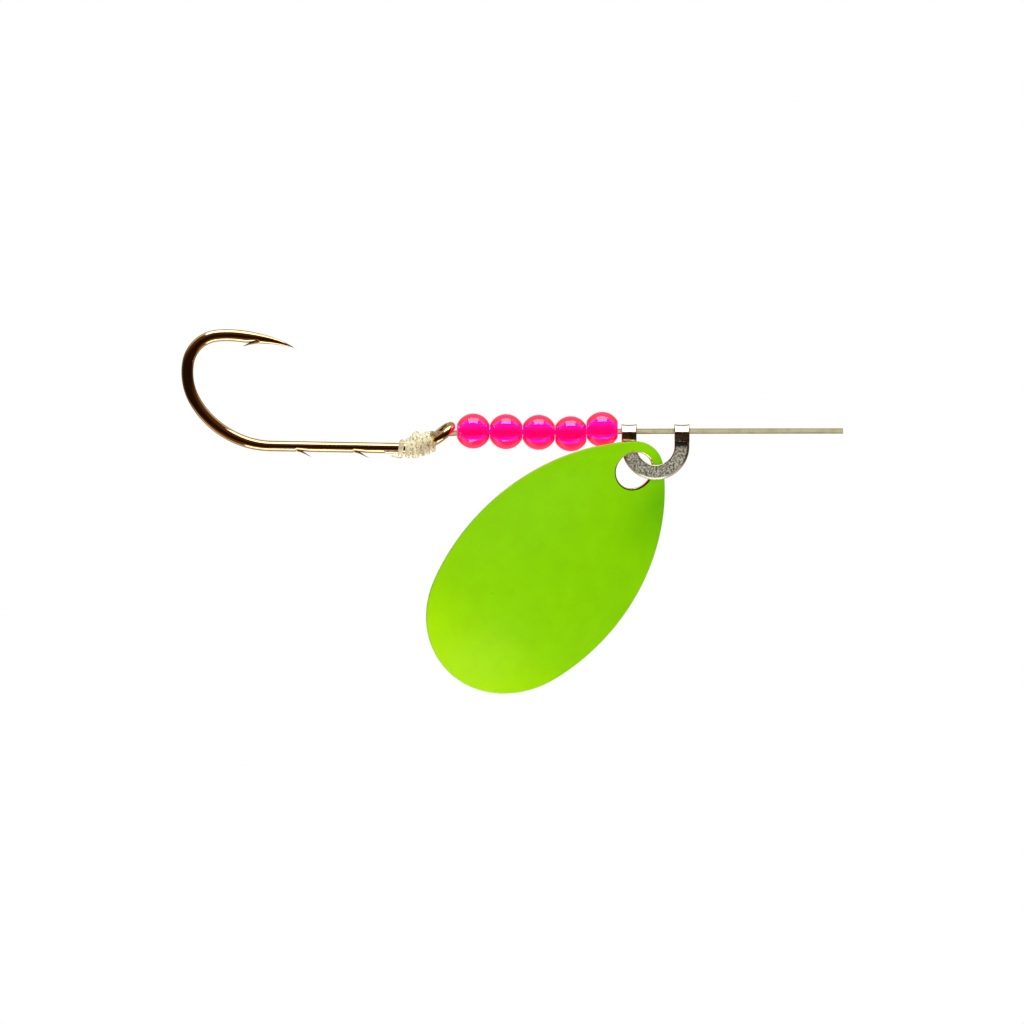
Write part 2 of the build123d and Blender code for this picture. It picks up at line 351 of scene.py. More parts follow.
def brass_material():
    """The blade's bare back: bright rolled brass with faint streaks."""
    shader = Shader("bright_brass", Metallic=1.0)
    drift = shader.noise(3.0 * MM, detail=5)
    shader.set("Base Color", shader.ramp(drift, (0.3, (0.78, 0.59, 0.27)), (0.7, (0.90, 0.73, 0.38))))
    streaks = shader.noise(0.3 * MM, stretch=(0.25, 1, 1))
    shader.set("Roughness", shader.ramp(streaks, (0.3, grey(0.14)), (0.7, grey(0.26))))
    shader.set("Normal", shader.bump(streaks, 0.004 * MM, 0.4))
    return shader.material


def paint_material(origin, axis, side):
    """Fluorescent chartreuse enamel: glossy, with a few dark specks. Painted light makes it lighter and
    yellower towards the tail, painted shade darkens it near the tip's side edge, and a painted glow in
    its own colour stands in for fluorescence.
    """
    shader = Shader(
        "chartreuse_paint", IOR=1.5, Specular_IOR_Level=0.08, Emission_Strength=0.45,
    )
    along = shader.along(axis, origin, BLADE_LENGTH)
    # Painted light: the colour gets lighter and yellower towards the tail.
    body = shader.ramp(
        along, (0.04, (0.225, 0.600, 0.001)), (0.50, (0.225, 0.595, 0.001)),
        (0.75, (0.255, 0.625, 0.001)), (0.98, (0.390, 0.760, 0.001)),
    )
    # Painted shade: darker green near the tip towards the side edge, under the clevis.
    near_tip = shader.ramp(along, (0.12, grey(1)), (0.34, grey(0)))
    near_edge = shader.ramp(shader.along(side, origin, BLADE_LENGTH), (0.02, grey(0)), (0.15, grey(1)))
    tip_side_shade = shader.mix(1.0, near_tip, near_edge, "MULTIPLY")
    body = shader.mix(tip_side_shade, body, (0.130, 0.440, 0.001))
    clouds = shader.noise(2.4 * MM, detail=5, roughness=0.6)
    drift = shader.ramp(clouds, (0.3, grey(0.93)), (0.7, grey(1.0)))
    mottle = shader.mix(1.0, body, drift, "MULTIPLY")
    near = shader.cells(1.7 * MM)
    patchy = shader.noise(5 * MM, detail=1)
    speck = shader.ramp(near, (0.035, grey(1)), (0.07, grey(0)))
    some = shader.ramp(patchy, (0.48, grey(0)), (0.60, grey(1)))
    both = shader.mix(some, (0.0, 0.0, 0.0), speck)
    colour = shader.mix(both, mottle, (0.10, 0.30, 0.0))
    shader.set("Base Color", colour)
    # Painted glow: the paint emits its own colour, a stand-in for fluorescence.
    shader.set("Emission Color", colour)
    shader.set("Roughness", shader.ramp(shader.noise(0.8 * MM), (0.3, grey(0.28)), (0.7, grey(0.38))))
    shader.set("Normal", shader.bump(shader.noise(0.55 * MM, detail=2), 0.012 * MM, 0.5))
    return shader.material


def pitted_nickel_material(bow):
    """The clevis' inner side: grainy grey with dark pits, and a near-black painted shadow below the
    folded tails.
    """
    shader = Shader("pitted_nickel", Metallic=0.2)
    pits = shader.noise(0.22 * MM, detail=6, roughness=0.75)
    grains = shader.ramp(
        pits, (0.39, (0.03, 0.03, 0.02)), (0.47, (0.27, 0.27, 0.19)), (0.58, (0.84, 0.83, 0.68)),
    )
    # Painted shadow: near black from about the bow's centre height up, with a ragged lower edge.
    height = shader.along(Vector((0, 0, 1)), bow, MM)
    ragged = shader.mix(0.35, height, shader.noise(0.30 * MM, detail=3))
    painted_tail_shadow = shader.ramp(ragged, (0.02, grey(0)), (0.24, grey(1)))
    shader.set("Base Color", shader.mix(painted_tail_shadow, grains, (0.015, 0.015, 0.012)))
    shader.set("Roughness", shader.ramp(pits, (0.3, grey(0.6)), (0.7, grey(0.42))))
    shader.set("Normal", shader.bump(pits, 0.05 * MM, 0.7))
    return shader.material


def bright_nickel_material():
    """The clevis' outer side and edges: mirror bright nickel plate."""
    shader = Shader("bright_nickel", Metallic=1.0)
    drift = shader.noise(0.5 * MM, detail=3)
    shader.set("Base Color", shader.ramp(drift, (0.3, (0.70, 0.66, 0.57)), (0.7, (0.86, 0.83, 0.75))))
    shader.set("Roughness", shader.ramp(drift, (0.3, grey(0.20)), (0.7, grey(0.30))))
    shader.set("Normal", shader.bump(shader.noise(0.15 * MM), 0.004 * MM, 0.4))
    return shader.material


def nylon_material(name, dark_cloud_tone, tint, clear, roughness, cloud, glow):
    """Nylon line with darker olive clouds at random; clear is how much light passes straight through,
    and glow is a painted glow in the line's own tones.
    """
    shader = Shader(
        name, IOR=1.53, Roughness=roughness, Transmission_Weight=clear, Emission_Strength=glow,
    )
    haze = shader.noise(cloud, detail=4)
    # Darker olive tone in random clouds.
    tone = shader.ramp(haze, (0.36, dark_cloud_tone), (0.50, tint))
    shader.set("Base Color", tone)
    # Painted light: with glow above zero the line emits its own tone.
    shader.set("Emission Color", tone)
    shader.set("Normal", shader.bump(shader.noise(cloud / 2), 0.01 * MM, 0.3))
    return shader.material


def bead_material(name, glow, tint):
    """Fluorescent plastic, clear enough to show the bore: its dye drinks the green. Its emission is a
    painted glow standing in for fluorescence, and painted shade makes it darker and redder towards the
    bottom.
    """
    shader = Shader(
        name, IOR=1.55, Transmission_Weight=1.0, Coat_Weight=0.8, Emission_Strength=glow,
    )
    tone = shader.noise(1.2 * MM, detail=2)
    # Painted shade: the glow turns darker and redder towards the bottom of the bead.
    low_shade_tint = (tint[0], 0.2 * tint[1], 0.2 * tint[2])
    height = shader.along(Vector((0, 0, 1)), Vector((0, 0, -1.6 * MM)), 3.2 * MM)
    shader.set("Base Color", shader.ramp(tone, (0.3, (1.0, 0.86, 0.94)), (0.7, (1.0, 0.93, 0.98))))
    shader.set("Emission Color", shader.ramp(height, (0.1, low_shade_tint), (0.7, tint)))
    shader.set("Roughness", shader.ramp(tone, (0.3, grey(0.02)), (0.7, grey(0.05))))
    shader.set("Normal", shader.bump(shader.noise(1.3 * MM), 0.01 * MM, 0.12))
    dye = shader.nodes.new("ShaderNodeVolumeAbsorption")
    dye.inputs["Color"].default_value = (0.998, 0.02, 0.92, 1)
    dye.inputs["Density"].default_value = 2200.0
    shader.links.new(dye.outputs["Volume"], shader.nodes["Material Output"].inputs["Volume"])
    return shader.material


# ---- Camera, lights and stage ------------------------------------------------------------------

def make_camera():
    """A long lens square on to the rig, with the rig in the middle of a wide white margin."""
    bow_x, _, bow_z = BOW_CENTRE
    camera = bpy.data.cameras.new("camera")
    camera.sensor_width = 36.0
    camera.lens = camera.sensor_width * CAMERA_DISTANCE / VIEW_WIDTH
    camera.clip_start = 0.01
    rig = bpy.data.objects.new("camera", camera)
    rig.location = (bow_x + VIEW_OFFSET[0], -CAMERA_DISTANCE, bow_z + VIEW_OFFSET[1])
    rig.rotation_euler = (math.radians(90), 0, 0)
    bpy.context.scene.collection.objects.link(rig)
    bpy.context.scene.camera = rig


def make_softbox(name, centre, size, radiance):
    """A rectangular light of even brightness, facing the rig."""
    light = bpy.data.lights.new(name, "AREA")
    light.shape = "RECTANGLE"
    light.size, light.size_y = size
    light.energy = radiance * math.pi * size[0] * size[1]
    lamp = bpy.data.objects.new(name, light)
    lamp.location = centre
    target = Vector((-0.04, 0, 0))
    lamp.rotation_euler = (target - Vector(centre)).to_track_quat("-Z", "Y").to_euler()
    lamp.visible_camera = False
    bpy.context.scene.collection.objects.link(lamp)
    return lamp


def make_world():
    """White behind the rig; in reflections a studio that is dark on the camera's side."""
    world = bpy.data.worlds.new("studio")
    bpy.context.scene.world = world
    world.use_nodes = True
    nodes, links = world.node_tree.nodes, world.node_tree.links
    nodes.clear()
    direction = nodes.new("ShaderNodeTexCoord").outputs["Generated"]
    axes = nodes.new("ShaderNodeSeparateXYZ")
    links.new(direction, axes.inputs[0])
    depth, height = axes.outputs["Y"], axes.outputs["Z"]

    def band(source, low, high, bottom, top):
        node = nodes.new("ShaderNodeMapRange")
        node.interpolation_type = "SMOOTHSTEP"
        values = (low, high, bottom, top)
        for socket, value in zip(("From Min", "From Max", "To Min", "To Max"), values):
            node.inputs[socket].default_value = value
        links.new(source, node.inputs["Value"])
        return node.outputs["Result"]

    def math_node(operation, first, second):
        node = nodes.new("ShaderNodeMath")
        node.operation = operation
        links.new(first, node.inputs[0])
        links.new(second, node.inputs[1])
        return node.outputs[0]

    def tinted(factor, low, high):
        node = nodes.new("ShaderNodeMix")
        node.data_type = "RGBA"
        links.new(factor, node.inputs["Factor"])
        node.inputs[6].default_value = (*low, 1)
        node.inputs[7].default_value = (*high, 1)
        return node.outputs[2]

    def add(first, second):
        node = nodes.new("ShaderNodeMix")
        node.data_type = "RGBA"
        node.blend_type = "ADD"
        node.inputs["Factor"].default_value = 1.0
        links.new(first, node.inputs[6])
        links.new(second, node.inputs[7])
        return node.outputs[2]

    nothing = (0, 0, 0)
    steep = nodes.new("ShaderNodeMath")
    steep.operation = "ABSOLUTE"
    links.new(height, steep.inputs[0])
    sides = tinted(band(depth, -0.4, 0.7, 0.0, 1.0), (0.016, 0.006, 0.002), (0.17, 0.122, 0.048))
    off_level = band(steep.outputs[0], 0.35, 0.75, 0.0, 1.0)
    sky = math_node("MULTIPLY", off_level, band(depth, -0.25, 0.05, 0.0, 0.62))
    sky = math_node("MULTIPLY", sky, band(depth, 0.10, 0.50, 1.0, 0.30))
    behind = band(depth, 0.86, 0.98, 0.0, 0.50)
    low_start = band(height, -0.92, -0.75, 0.0, 1.0)
    brown = math_node("MULTIPLY", low_start, band(height, -0.70, -0.42, 1.0, 0.0))
    amber = band(height, 0.10, 0.50, 0.0, 1.0)
    light = add(sides, add(tinted(sky, nothing, (1, 1, 0.97)), tinted(behind, nothing, (1, 1, 1))))
    light = add(light, tinted(brown, nothing, (0.16, 0.078, 0.010)))
    light = add(light, tinted(amber, nothing, (0.07, 0.030, 0.012)))

    seen = nodes.new("ShaderNodeBackground")
    seen.inputs["Color"].default_value = (1, 1, 1, 1)
    reflected = nodes.new("ShaderNodeBackground")
    links.new(light, reflected.inputs["Color"])
    choose = nodes.new("ShaderNodeMixShader")
    links.new(nodes.new("ShaderNodeLightPath").outputs["Is Camera Ray"], choose.inputs["Fac"])
    links.new(reflected.outputs[0], choose.inputs[1])
    links.new(seen.outputs[0], choose.inputs[2])
    links.new(choose.outputs[0], nodes.new("ShaderNodeOutputWorld").inputs["Surface"])


def make_floor():
    """A plain pale floor, well below the hanging rig."""
    size, depth = 1.2, -0.32
    corners = [(-size, -size, depth), (size, -size, depth), (size, size, depth), (-size, size, depth)]
    material = bpy.data.materials.new("pale_floor")
    material.use_nodes = True
    nodes, links = material.node_tree.nodes, material.node_tree.links
    nodes["Principled BSDF"].inputs["Base Color"].default_value = (0.25, 0.24, 0.22, 1)
    nodes["Principled BSDF"].inputs["Roughness"].default_value = 1.0
    glow = nodes.new("ShaderNodeEmission")
    choose = nodes.new("ShaderNodeMixShader")
    links.new(nodes.new("ShaderNodeLightPath").outputs["Is Camera Ray"], choose.inputs["Fac"])
    links.new(nodes["Principled BSDF"].outputs[0], choose.inputs[1])
    links.new(glow.outputs[0], choose.inputs[2])
    links.new(choose.outputs[0], nodes["Material Output"].inputs["Surface"])
    floor = add_mesh("floor", corners, [(0, 1, 2, 3)], [material])
    floor.visible_glossy = False
    floor.visible_transmission = False


# ---- Leader, snell and tag ---------------------------------------------------------------------

def make_leader(material):
    """The free line from the wraps to its cut end, on one smooth curve."""
    curve = bpy.data.curves.new("nylon_leader", "CURVE")
    curve.dimensions = "3D"
    curve.bevel_depth = LINE_RADIUS
    curve.bevel_resolution = 8
    curve.use_fill_caps = True
    spline = curve.splines.new("NURBS")
    spline.points.add(len(LEADER_ROUTE) - 1)
    for point, (x, z) in zip(spline.points, LEADER_ROUTE):
        point.co = (x, 0, z, 1)
    spline.order_u = 3
    spline.use_endpoint_u = True
    spline.resolution_u = 24
    curve.materials.append(material)
    leader = bpy.data.objects.new("nylon_leader", curve)
    bpy.context.scene.collection.objects.link(leader)
    return leader


def line_mesh(name, routes, radius, material):
    """A mesh of round line along one or more lists of points."""
    curve = bpy.data.curves.new(name, "CURVE")
    curve.dimensions = "3D"
    curve.bevel_depth = radius
    curve.bevel_resolution = 5
    curve.use_fill_caps = True
    for route in routes:
        spline = curve.splines.new("NURBS")
        spline.points.add(len(route) - 1)
        for point, place in zip(spline.points, route):
            point.co = (*place, 1)
        spline.order_u = 4
        spline.use_endpoint_u = True
        spline.resolution_u = 4
    holder = bpy.data.objects.new(name + "_line", curve)
    bpy.context.scene.collection.objects.link(holder)
    graph = bpy.context.evaluated_depsgraph_get()
    mesh = bpy.data.meshes.new_from_object(holder.evaluated_get(graph))
    bpy.data.objects.remove(holder)
    mesh.name = name
    mesh.materials.clear()
    mesh.materials.append(material)
    mesh.shade_smooth()
    piece = bpy.data.objects.new(name, mesh)
    bpy.context.scene.collection.objects.link(piece)
    return piece


def make_snell(material):
    """Slanting turns of line round the shank and the standing line, up to the eye's neck."""
    low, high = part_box("snell_wraps")
    middle_y = (low[1] + high[1]) / 2
    half_side = SHANK_RADIUS + 0.92 * WRAP_RADIUS
    dice = random.Random(7)
    wraps = []
    steps = 12
    for number, (top, foot) in enumerate(WRAPS):
        following = WRAPS[number + 1][0] if number + 1 < len(WRAPS) else (top[0] + 0.7, top[1])
        for start, end, side in ((top, foot, -1), (foot, following, 1)):
            swell = dice.uniform(*WRAP_SIDE_SWELL)
            for k in range(steps):
                t = k / steps
                turn = math.cos(math.pi * t)
                bulge = math.sin(math.pi * t)
                x = start[0] + (end[0] - start[0]) * (1 - turn) / 2
                z = (start[1] + end[1]) / 2 + (start[1] - end[1]) / 2 * turn
                wraps.append((
                    low[0] + x * MM, middle_y + side * swell * half_side * bulge ** 0.8, low[2] + z * MM,
                ))
    start_x, start_z = LEADER_ROUTE[0]
    standing = [
        (low[0] + 0.75 * MM, 0.10 * MM, low[2] + 1.85 * MM),
        (low[0] + 1.70 * MM, -0.05 * MM, low[2] + 2.05 * MM),
        (start_x - 0.9 * MM, 0, start_z - 0.22 * MM),
        (start_x + 0.02 * MM, 0, start_z),
    ]
    return line_mesh("nylon_snell", [wraps, standing], WRAP_RADIUS, material)


def make_tag(material):
    """The cut tag: a short stub with a slanting end."""
    low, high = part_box("tag_end")
    centre_y, centre_z = (low[1] + high[1]) / 2, (low[2] + high[2]) / 2
    rings = []
    count = 20
    for k in range(9):
        t = k / 8
        ring = []
        for j in range(count):
            angle = 2 * math.pi * j / count
            up = math.sin(angle)
            x = high[0] + TAG_OVERLAP - (high[0] - low[0] + TAG_OVERLAP) * t
            x += TAG_SLANT * ease(t, 0.5, 1.0) * (1 - up) / 2
            shrink = LINE_RADIUS * (1 - 0.10 * t)
            ring.append(Vector((
                x, centre_y + shrink * math.cos(angle), centre_z + shrink * up + TAG_LIFT * t,
            )))
        rings.append(ring)
    return skin("nylon_tag", rings, material)


# ---- Hook --------------------------------------------------------------------------------------

def hook_stations():
    """The wire's axis from the eye's ring to the tip, placed by the CAD hook's box.

    Returns the stations (x, z, heading), their distances along the wire, where the bend and the
    point start, and the centre of the eye's ring.
    """
    low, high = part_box("hook")
    turn_up, slope, roll = (math.radians(a) for a in (EYE_TURN_UP, SHANK_SLOPE, EYE_ROLL))
    bend = [(radius * math.radians(turn), -turn) for radius, turn in BEND_ARCS]
    trial = walk((0, 0), 180 - SHANK_SLOPE, bend, 0.1 * MM)
    bend_x = low[0] + CAD_WIRE_RADIUS - min(x for x, _, _ in trial)
    bend_z = high[2] - CAD_WIRE_RADIUS - max(z for _, z, _ in trial)
    ring_reach = EYE_RING_RADIUS * math.hypot(math.cos(turn_up), math.sin(turn_up) * math.sin(roll))
    eye_x = high[0] - ring_reach - EYE_WIRE_RADIUS
    neck_x = eye_x - EYE_RING_RADIUS * math.cos(turn_up)
    neck_end = neck_x - NECK_RADIUS * (math.sin(turn_up) + math.sin(slope))
    neck_z = bend_z - (neck_end - bend_x) * math.tan(slope)
    neck_z += NECK_RADIUS * (math.cos(slope) - math.cos(turn_up))
    eye_z = neck_z + EYE_RING_RADIUS * math.sin(turn_up)
    neck_length = NECK_RADIUS * (turn_up + slope)
    shank_length = (neck_end - bend_x) / math.cos(slope)
    moves = [(neck_length, -EYE_TURN_UP - SHANK_SLOPE), (shank_length, 0)] + bend
    moves += [(FRONT_LENGTH, 0)] + POINT_RUNS
    stations = walk((neck_x, neck_z), 180 + EYE_TURN_UP, moves, 0.09 * MM)
    along = [0.0]
    for (x0, z0, _), (x1, z1, _) in zip(stations, stations[1:]):
        along.append(along[-1] + math.hypot(x1 - x0, z1 - z0))
    return stations, along, neck_length + shank_length, along[-1] - POINT_LENGTH, (eye_x, eye_z)


def barb(name, stations, along, root, length, side, tip_reach, thickness, material):
    """A sliver cut from the wire and lifted, pointing back along it.

    side is 1 outside the bend; tip_reach, from the wire's axis, and thickness are in mm.
    """
    rings = []
    for k in range(10):
        t = k / 9
        place = root - length * t
        index = min(range(len(along)), key=lambda i: abs(along[i] - place))
        x, z, heading = stations[index]
        away = math.radians(heading + 90 * side)
        reach = (BARB_ROOT_REACH + (tip_reach - BARB_ROOT_REACH) * t ** 1.25) * MM
        thick = (thickness * (1 - t) ** 0.8 + 0.012) * MM
        wide = (2 * thickness * (1 - t) ** 0.7 + 0.015) * MM
        ring = []
        for j in range(12):
            angle = 2 * math.pi * j / 12
            out = reach + thick * math.cos(angle)
            ring.append(Vector((
                x + out * math.cos(away), wide * math.sin(angle), z + out * math.sin(away),
            )))
        rings.append(ring)
    return skin(name, rings, material)


def make_hook(material):
    """One forged and plated wire: ringed eye, barbed shank, round bend and needle point."""
    stations, along, bend_start, point_start, eye = hook_stations()
    shank = [(x, s) for (x, _, _), s in zip(stations, along) if s < bend_start]
    bait_roots = [
        min(shank, key=lambda station: abs(station[0] - place))[1] for place in BAIT_BARB_PLACES
    ]
    point_root = point_start + POINT_BARB_INSET
    cuts = [(root, BAIT_BARB_CUT, 1) for root in bait_roots]
    cuts.append((point_root, POINT_BARB_CUT, -1))

    rings = []
    for (x, z, heading), s in zip(stations, along):
        forged = ease(s, bend_start - 1.0 * MM, bend_start + 7.0 * MM)
        halves = {
            side: SHANK_RADIUS + (depth - SHANK_RADIUS) * forged
            for side, depth in ((1, BEND_OUTER_DEPTH), (-1, BEND_INNER_DEPTH))
        }
        width = SHANK_RADIUS + (BEND_HALF_WIDTH - SHANK_RADIUS) * forged
        if s > point_start:
            t = min(1.0, (s - point_start) / POINT_LENGTH)
            taper = 1 - t ** 1.35
            width = POINT_TIP_RADIUS + (width - POINT_TIP_RADIUS) * taper
            halves = {
                side: POINT_TIP_RADIUS + (depth - POINT_TIP_RADIUS) * taper
                for side, depth in halves.items()
            }
        for root, length, side in cuts:
            if root - length < s < root:
                halves[side] -= BARB_CUT_DEPTH * (s - root + length) / length
        out = math.radians(heading + 90)
        ring = []
        for j in range(32):
            angle = 2 * math.pi * j / 32
            across = math.cos(angle)
            reach = halves[1 if across > 0 else -1] * across
            ring.append(Vector((
                x + reach * math.cos(out), width * math.sin(angle), z + reach * math.sin(out),
            )))
        rings.append(ring)
    hook = skin("gold_hook", rings, material)

    turn_up, roll = math.radians(EYE_TURN_UP), math.radians(EYE_ROLL)
    in_plane = Vector((math.cos(turn_up), 0, math.sin(turn_up)))
    sideways = BACK * math.cos(roll) + in_plane.cross(BACK) * math.sin(roll)
    normal = in_plane.cross(sideways)
    centre = Vector((eye[0], 0, eye[1]))
    loop = []
    for i in range(72):
        angle = 2 * math.pi * i / 72
        outward = in_plane * math.cos(angle) + sideways * math.sin(angle)
        middle = centre + outward * EYE_RING_RADIUS
        loop.append([
            middle + (outward * math.cos(a) + normal * math.sin(a)) * EYE_WIRE_RADIUS
            for a in (2 * math.pi * j / 24 for j in range(24))
        ])
    parts = [skin("ring", loop, material, closed=True)]
    slivers = [
        (f"bait_barb_{number}", root, 1, BAIT_BARB_SIZE) for number, root in enumerate(bait_roots)
    ]
    slivers.append(("point_barb", point_root, -1, POINT_BARB_SIZE))
    for name, root, side, size in slivers:
        parts.append(barb(name, stations, along, root, BARB_LENGTH, side, *size, material))
    return union(hook, parts)


# ---- Beads -------------------------------------------------------------------------------------

def make_bead(number, outside, inside):
    """A moulded ball with flat ends and a rounded bore, turned about its own bore."""
    low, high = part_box(f"bead_{number}")
    half = (high[0] - low[0]) / 2
    radius = (high[2] - low[2]) / 2
    centre = [(a + b) / 2 for a, b in zip(low, high)]
    bore, lip = BORE_RADIUS, BORE_LIP
    flat = math.sqrt(radius ** 2 - half ** 2)
    profile = [(-half * t, bore) for t in (0.9, 0.6, 0.3, 0.0, -0.3, -0.6, -0.9)]
    for a in (0, 30, 60, 90):
        turn = math.radians(a)
        profile.append((half - lip + lip * math.sin(turn), bore + lip - lip * math.cos(turn)))
    first = math.atan2(flat, half)
    steps = 40
    for k in range(steps + 1):
        angle = first + (math.pi - 2 * first) * k / steps
        profile.append((radius * math.cos(angle), radius * math.sin(angle)))
    for a in (90, 60, 30, 0):
        turn = math.radians(a)
        profile.append((-half + lip - lip * math.sin(turn), bore + lip - lip * math.cos(turn)))
    rings = []
    around = 64
    for i in range(around):
        angle = 2 * math.pi * i / around
        rings.append([
            Vector((centre[0] + x, centre[1] + r * math.cos(angle), centre[2] + r * math.sin(angle)))
            for x, r in profile
        ])
    faces = bridge(rings, True)
    count = len(profile)
    on_ball = range(count - 5 - steps, count - 5)
    indices = [0 if index % count in on_ball else 1 for index in range(len(faces))]
    vertices = [v for ring in rings for v in ring]
    return add_mesh(f"pink_bead_{number}", vertices, faces, [outside, inside], indices, sharp=70)


# ---- Clevis ------------------------------------------------------------------------------------

def strip_section(width, thickness):
    """Points (across, through) round a strip: its inner side first, its bevelled corner last."""
    corner = min(STRIP_CORNER, 0.42 * thickness)
    bevel = min(STRIP_BEVEL, 0.65 * thickness)
    flat, half = width / 2 - corner, thickness / 2
    inner_end = width / 2 - bevel

    def row(start, end, through):
        step = (end - start) / (STRIP_COLUMNS - 1)
        return [(start + step * c, through) for c in range(STRIP_COLUMNS)]

    def rounded(side, up, degrees):
        turns = [math.radians(a) for a in degrees]
        return [
            (side * (flat + corner * math.sin(a)), up * (half - corner + corner * math.cos(a)))
            for a in turns
        ]

    points = row(inner_end, -flat, -half)
    points += rounded(-1, -1, (22, 45, 68)) + rounded(-1, 1, (68, 45, 22))
    points += row(-flat, flat, half)
    points += rounded(1, 1, (22, 45, 68))
    for k in range(BEVEL_ROWS, 0, -1):
        rise = bevel * k / (BEVEL_ROWS + 0.5)
        points.append((inner_end + rise, -half + rise))
    return points


def ear_stations():
    """(y, z, heading, thickness) of one ear's mid line, from the bow's level to the tail's end."""
    stations = [(0.0, 0.0, 90.0, STRIP_THICKNESS)]
    for length, turn, thickness in EAR_MOVES:
        y, z, heading, before = stations[-1]
        leg = walk((y, z), heading, [(length, turn)], 0.07 * MM)
        for k, (py, pz, ph) in enumerate(leg[1:], 1):
            share = k / (len(leg) - 1)
            stations.append((py, pz, ph, before + (thickness - before) * share))
    return stations


def make_clevis(inner_side, outer_side):
    """One strip: tail, roll over the leader, leg, half ring, and the same again."""
    bow = Vector(BOW_CENTRE)
    ear = ear_stations()
    top = max(z for _, z, _, _ in ear)

    def ear_station(side, station, turned):
        """Place, outward direction, tangent, thickness and height of a station on one ear."""
        y, z, heading, thickness = station
        along = math.radians(heading + turned)
        place = bow + Vector((side * BOW_RADIUS, y, z))
        tangent = Vector((0, math.cos(along), math.sin(along)))
        return place, Vector((side, 0, 0)), tangent, thickness, z

    stations = [ear_station(-1, station, 180) for station in reversed(ear)]
    for k in range(1, BOW_STEPS):
        angle = math.radians(180 + 180 * k / BOW_STEPS)
        outward = Vector((math.cos(angle), 0, math.sin(angle)))
        tangent = Vector((-math.sin(angle), 0, math.cos(angle)))
        place = bow + outward * BOW_RADIUS
        stations.append((place, outward, tangent, STRIP_THICKNESS, -BOW_RADIUS))
    stations += [ear_station(1, station, 0) for station in ear]

    dice = random.Random(3)
    ragged = [dice.uniform(*TAIL_NICKS) * MM for _ in range(64)]
    rings = []
    last = len(stations) - 1
    for i, (place, across, tangent, thickness, height) in enumerate(stations):
        through = tangent.cross(across)
        crown = ease(height, top - EAR_CROWN, top)
        width = STRIP_WIDTH * (1 + CROWN_SPREAD * crown)
        end = 1 if i >= last - 2 else -1 if i <= 2 else 0
        ring = []
        for a, b in strip_section(width, thickness):
            flare = CROWN_FLARE * crown * abs(2 * a / width) ** 3
            nick = 0.0
            if end:
                bin_number = int((a / width + 0.5) * 12)
                nick = end * ragged[bin_number + (20 if end > 0 else 0)]
            ring.append(place + across * a + through * (b + flare) + tangent * nick)
        rings.append(ring)
    vertices = [v for ring in rings for v in ring]
    faces = bridge(rings, False)
    count = len(rings[0])
    indices = []
    for index in range(len(faces)):
        on_inner_side = index < len(faces) - 2 and index % count < STRIP_COLUMNS - 1
        indices.append(0 if on_inner_side else 1)
    return add_mesh("nickel_clevis", vertices, faces, [inner_side, outer_side], indices, sharp=50)


# ---- Blade -------------------------------------------------------------------------------------

class Outline:
    """The blade's outline: end circles on its long axis and two side arcs tangent to both."""

    def __init__(self):
        self.tip = BLADE_TIP_RADIUS
        self.tail = BLADE_LENGTH - BLADE_TAIL_RADIUS
        to_tip = BLADE_SIDE_RADIUS - BLADE_TIP_RADIUS
        to_tail = BLADE_SIDE_RADIUS - BLADE_TAIL_RADIUS
        spacing = self.tail - self.tip
        shift = (spacing ** 2 + to_tip ** 2 - to_tail ** 2) / (2 * spacing)
        self.side = self.tip + shift
        self.drop = math.sqrt(to_tip ** 2 - shift ** 2)
        self.tip_join = self.tip - BLADE_TIP_RADIUS * shift / to_tip
        self.tail_join = self.tail + BLADE_TAIL_RADIUS * (self.tail - self.side) / to_tail

    def arc(self, u, v):
        """Centre and radius of the arc that bounds the blade at u, on v's side."""
        if u < self.tip_join:
            return self.tip, 0.0, BLADE_TIP_RADIUS
        if u > self.tail_join:
            return self.tail, 0.0, BLADE_TAIL_RADIUS
        return self.side, -math.copysign(self.drop, v), BLADE_SIDE_RADIUS

    def inside(self, u, v):
        """Whether a point of the blade's plane lies on the blade."""
        centre_u, centre_v, radius = self.arc(u, v)
        return math.hypot(u - centre_u, v - centre_v) < radius

    def edge(self, angle):
        """The outline's point and outward normal, seen from the hole at this angle."""
        near, far = 0.0, BLADE_LENGTH
        for _ in range(40):
            middle = (near + far) / 2
            u = BLADE_HOLE_INSET + middle * math.cos(angle)
            v = middle * math.sin(angle)
            if 0 <= u <= BLADE_LENGTH and self.inside(u, v):
                near = middle
            else:
                far = middle
        centre_u, centre_v, radius = self.arc(u, v)
        return (u, v), ((u - centre_u) / radius, (v - centre_v) / radius)


def cup(u, v):
    """Height of the blade's mid surface above its rim."""
    reach = CUP_TO_TIP if u < CUP_CENTRE else CUP_TO_TAIL
    inside = 1 - ((u - CUP_CENTRE) / reach) ** 2 - (v / CUP_HALF_WIDTH) ** 2
    return CUP_RISE * 0.5 * (inside + math.sqrt(inside ** 2 + CUP_SOFTNESS ** 2))


